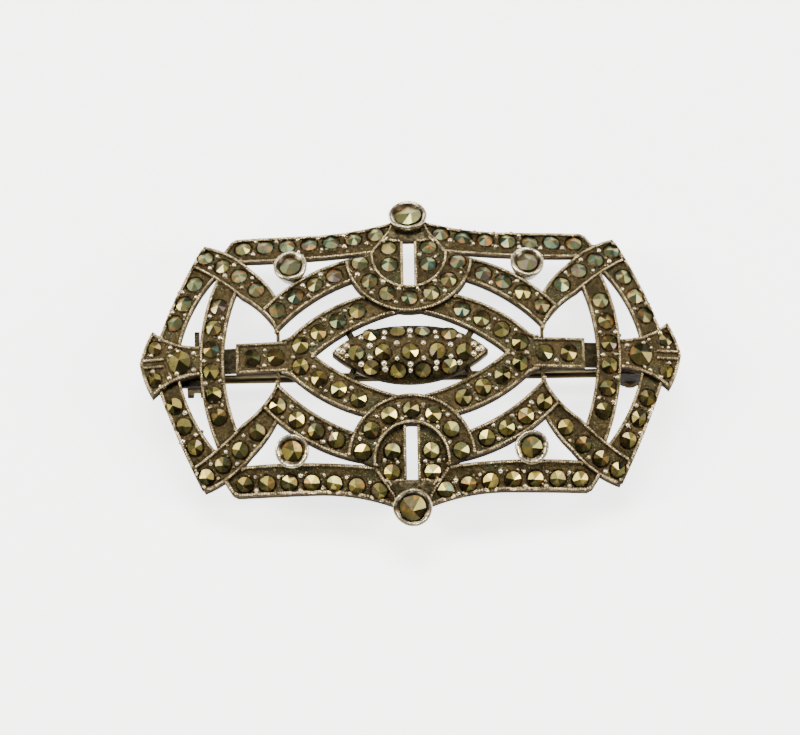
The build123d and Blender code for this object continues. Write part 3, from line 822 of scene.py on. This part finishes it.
def navetteEdgePoints():
    # along the cup's edge, left out where a stone bulges over it
    edge = railPoints("navette_cup", navetteBow, 0.0, navetteRail)
    stones = stoneAt["navette_stones"]
    peak, axis = stones[:, :3], stones[:, 3:6]
    away = edge[:, None] - peak[None]
    away = away - (away * axis[None]).sum(axis=2, keepdims=True) * axis[None]
    return edge[np.linalg.norm(away, axis=2).min(axis=1) > navetteBeads["stoneClear"]]


def buildNavetteBeads():
    spots = navetteSpots()
    radius = navetteBeads["radius"] * rng.uniform(*navetteBeads["spread"], len(spots))
    points, faces = beadMesh(spots, bowNormal(navetteBow, spots), radius, 1.0, around=14, rings=5)
    addPiece("navetteBeads", points, faces, "plaque", grainSilver)
    edge = navetteEdgePoints()
    radius = np.full(len(edge), navetteBeads["edgeRadius"])
    points, faces = beadMesh(edge, bowNormal(navetteBow, edge), radius, 1.0)
    addPiece("navetteEdge", points, faces, "plaque", milgrainSilver)
    print("navette beads", len(spots), len(edge))


buildGrains()
buildSeatRings()
buildNavetteBeads()


# radii and heights over the bent surface, in millimetres
colletShapes = {
    "large": {"rim": 1.8, "foot": 1.35, "held": 1.14, "rise": 1.1, "low": -0.9},
    "small": {"rim": 1.57, "foot": 1.07, "held": 0.9, "rise": 1.0, "low": -0.8},
}
# how unevenly the rims are pressed: waves to a turn and their size, out as a share of the radius and
# down in millimetres, over the top part of the outside
pressedRim = {"waves": (2, 3, 5, 7, 11, 16), "fade": 0.7, "size": 0.02, "out": 0.8, "down": -1.8,
              "from": 0.5, "full": 0.4, "brighter": 0.2, "around": 72}


def colletProfile(rim, foot, held, rise, low):
    # radius, height and how bright: up the outside, over the rim, down to the stone
    return np.array([
        [0.0, low, 0.0], [foot * 0.9, low, 0.0], [foot, low + 0.06, 0.0],
        [foot + (rim - foot) * 0.5, (low + rise) / 2 - 0.2, 0.1], [rim - 0.05, rise - 0.5, 0.3],
        [rim, rise - 0.32, 0.4], [rim - 0.01, rise - 0.16, 0.7], [rim - 0.07, rise - 0.05, 1.0],
        [rim - 0.17, rise, 1.0], [rim - 0.27, rise - 0.05, 0.6], [rim - 0.4, rise - 0.14, 0.3],
        [held + 0.12, rise - 0.24, 0.2], [held + 0.03, rise - 0.3, 0.1], [held - 0.03, rise - 0.36, 0.0],
        [held - 0.06, rise - 0.85, 0.0]])


def rimWave(turn):
    # a random sum of waves, the quicker ones lower
    return sum(rng.normal(0, 1) * np.cos(k * turn + rng.uniform(0, 6.3)) / k ** pressedRim["fade"]
               for k in pressedRim["waves"]) * pressedRim["size"]


def colletMesh(peak, normal, shape):
    # a profile turned round the stone's axis, its rim pressed unevenly over the stone
    middle = peak - normal * bowOffset(plaqueBow, peak[None])[0]
    side, over = crossFrame(normal[None])
    profile = colletProfile(**shape)
    turn = ringTurns(pressedRim["around"])
    wave = rimWave(turn)[None]
    high = (profile[:, 1] - (shape["rise"] - pressedRim["from"])) / pressedRim["full"]
    push = np.clip(high, 0, 1) * (profile[:, 2] > pressedRim["brighter"])
    out = profile[:, 0][:, None] * (1 + wave * push[:, None] * pressedRim["out"])
    up = profile[:, 1][:, None] + (wave * push[:, None] * pressedRim["down"])
    out, up = out * mm, np.minimum(up, shape["rise"]) * mm
    points = (middle + normal * up[..., None] + side * (out * np.cos(turn))[..., None]
              + over * (out * np.sin(turn))[..., None])
    crest = profile[:, 2][:, None] + np.zeros(pressedRim["around"])
    return points.reshape(-1, 3), bandQuads(pressedRim["around"], len(profile) - 1), crest


def buildCollets():
    for kind, shape in colletShapes.items():
        stones = stoneAt[kind + "_collet_stones"]
        for name in [n for n in nodes if n.startswith(kind + "_collet") and not n.endswith("stones")]:
            low, high = [np.array(corner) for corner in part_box(name)]
            nearest = np.linalg.norm(stones[:, :2] - (low + high)[:2] / 2, axis=1).argmin()
            points, faces, crest = colletMesh(stones[nearest, :3], stones[nearest, 3:6], shape)
            piece = addPiece("rubbed_" + name, points, faces, "plaque", collarSilver,
                             crest=crest)
            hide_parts(name)
    print("collets built")


buildCollets()


# the crown sits a little right of and above the middle of the view, by these lengths
cameraView = {"distance": 0.4, "fieldWidth": 73.4 * mm, "lean": 16.3, "roll": -1.0,
              "right": 0.945 * mm, "up": 1.35 * mm}
# tone and glow of the floor, and tone and strength of the light from all round
studio = {"floor": (0.92, 0.92, 0.92, 1), "glow": 2.8, "around": (0.75, 0.78, 0.8, 1), "aroundStrength": 0.17}


def buildStage():
    bpy.ops.mesh.primitive_plane_add(size=3.0, location=(0, 0, 0))
    floor = bpy.context.object
    floor.name = "paleFloor"
    paint = Paint("paleFloor")
    paint.put("Base Color", studio["floor"])
    paint.put("Roughness", 0.9)
    paint.put("Emission Color", (1, 1, 1, 1))
    paint.put("Emission Strength", studio["glow"])
    floor.data.materials.append(paint.material)


def softLight(name, place, size, power, tint=(1, 1, 1)):
    # a rectangle of light that faces the middle of the floor
    data = bpy.data.lights.new(name, "AREA")
    data.shape = "RECTANGLE"
    data.size, data.size_y = size
    data.energy = power
    data.color = tint
    obj = bpy.data.objects.new(name, data)
    obj.location = place
    obj.rotation_euler = (-Vector(place)).to_track_quat("-Z", "Y").to_euler()
    bpy.context.scene.collection.objects.link(obj)


def buildLights():
    world = bpy.data.worlds.new("studio")
    bpy.context.scene.world = world
    world.use_nodes = True
    background = world.node_tree.nodes["Background"]
    background.inputs["Color"].default_value = studio["around"]
    background.inputs["Strength"].default_value = studio["aroundStrength"]
    softLight("overhead", (0.0, 0.4, 0.7), (0.5, 0.22), 11.0)
    softLight("left", (-0.55, 0.05, 0.42), (0.14, 0.36), 7.0, (1.0, 0.96, 0.88))
    softLight("right", (0.6, -0.05, 0.42), (0.14, 0.36), 7.0, (1.0, 0.96, 0.9))


def buildCamera():
    data = bpy.data.cameras.new("camera")
    data.sensor_width = 36.0
    data.lens = data.sensor_width * cameraView["distance"] / cameraView["fieldWidth"]
    data.clip_start = 0.01
    lean, roll = math.radians(cameraView["lean"]), math.radians(cameraView["roll"])
    turn = Matrix.Rotation(lean, 4, "X") @ Matrix.Rotation(roll, 4, "Z")
    right, up, back = [turn.to_3x3().col[k] for k in range(3)]
    crown = Vector((0, 0, plaqueBow["crown"]))
    place = crown - right * cameraView["right"] - up * cameraView["up"] + back * cameraView["distance"]
    obj = bpy.data.objects.new("camera", data)
    obj.matrix_world = Matrix.Translation(place) @ turn
    bpy.context.scene.collection.objects.link(obj)
    bpy.context.scene.camera = obj


buildStage()
buildLights()
buildCamera()
print("stage, lights and camera built")
